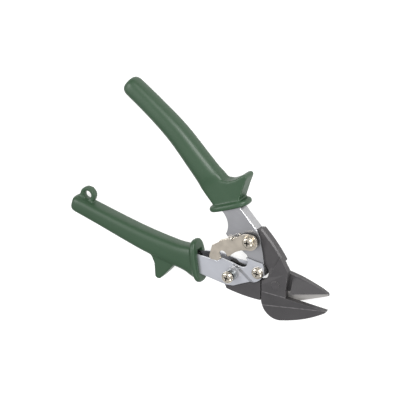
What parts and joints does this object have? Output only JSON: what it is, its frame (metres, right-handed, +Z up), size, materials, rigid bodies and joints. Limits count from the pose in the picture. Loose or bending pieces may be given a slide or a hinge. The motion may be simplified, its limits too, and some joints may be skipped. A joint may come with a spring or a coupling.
{
  "type": "aviation snips",
  "caption": "Compound-leverage sheet-metal snips with two pivoting blades, channel handles in moulded grips, a coil opening spring and a swinging latch.",
  "frame": {"origin": "centre of the bounding box's base, with the snips lying on their side", "axes": "+X forward along the tool from the grips to the jaw tips, +Y from the lower handle to the upper one, +Z up through the plates towards the latch side"},
  "size_m": [0.2554, 0.1496, 0.0241],
  "materials": {
    "blade_steel": "black oxide over a fine forged and ground surface, edges ground bright",
    "bolt_steel": "dark phosphated steel",
    "handle_steel": "satin nickel-plated pressed sheet",
    "nickel_plate": "warm bright nickel plate",
    "zinc_nut": "dull zinc plate",
    "bush_bronze": "plain bronze, oiled",
    "spring_steel": "drawn spring wire",
    "grip_plastic": "matt green moulded vinyl with a soft sheen"
  },
  "bodies": {
    "near_blade": {"lower_blade": "blade_steel", "pivot_bolt": "bolt_steel", "pivot_washer": "bolt_steel", "pivot_lock_nut": "bolt_steel"},
    "far_blade": {"upper_blade": "blade_steel"},
    "upper_handle": {"upper_channel": "handle_steel", "upper_grip": "grip_plastic", "upper_shank_bush": "bush_bronze", "latch_spacer": "nickel_plate", "latch_wave_washer": "nickel_plate", "latch_screw": "nickel_plate", "latch_lock_nut": "zinc_nut", "latch_spring": "spring_steel"},
    "latch": {"latch_plate": "nickel_plate"},
    "lower_handle": {"lower_channel": "handle_steel", "lower_grip": "grip_plastic", "lower_shank_bush": "bush_bronze", "latch_post": "nickel_plate", "shank_screw": "nickel_plate", "shank_lock_nut": "zinc_nut", "hinge_bush": "bush_bronze", "hinge_screw": "nickel_plate", "hinge_lock_nut": "zinc_nut", "opening_spring": "spring_steel"}
  },
  "joints": [
    {"name": "blade_pivot", "type": "hinge", "parent": "near_blade", "child": "far_blade", "pos_m": [0.07876, -0.00102, 0.0105], "axis": [0, 0, -1], "range_deg": [0, 17], "stiffness_Nm_per_rad": 1, "springref_deg": -22.92, "deforming": ["opening_spring"]},
    {"name": "upper_link", "type": "hinge", "parent": "near_blade", "child": "upper_handle", "pos_m": [0.04026, 0.01998, 0.0105], "axis": [0, 0, 1], "range_deg": [0, 6.7]},
    {"name": "lower_link", "type": "hinge", "parent": "far_blade", "child": "lower_handle", "pos_m": [0.04026, -0.02202, 0.0105], "axis": [0, 0, -1], "range_deg": [0, 6.7]},
    {"name": "latch_pivot", "type": "hinge", "parent": "upper_handle", "child": "latch", "pos_m": [0.04026, 0.01998, 0.0105], "axis": [0, 0, 1], "range_deg": [0, 12.9], "stiffness_Nm_per_rad": 0.03, "springref_deg": -17.19, "deforming": ["latch_spring"]}
  ],
  "couplings": [
    {"joint": "upper_link", "follows": "blade_pivot", "ratio": 0.3859},
    {"joint": "lower_link", "follows": "blade_pivot", "ratio": 0.3859}
  ]
}
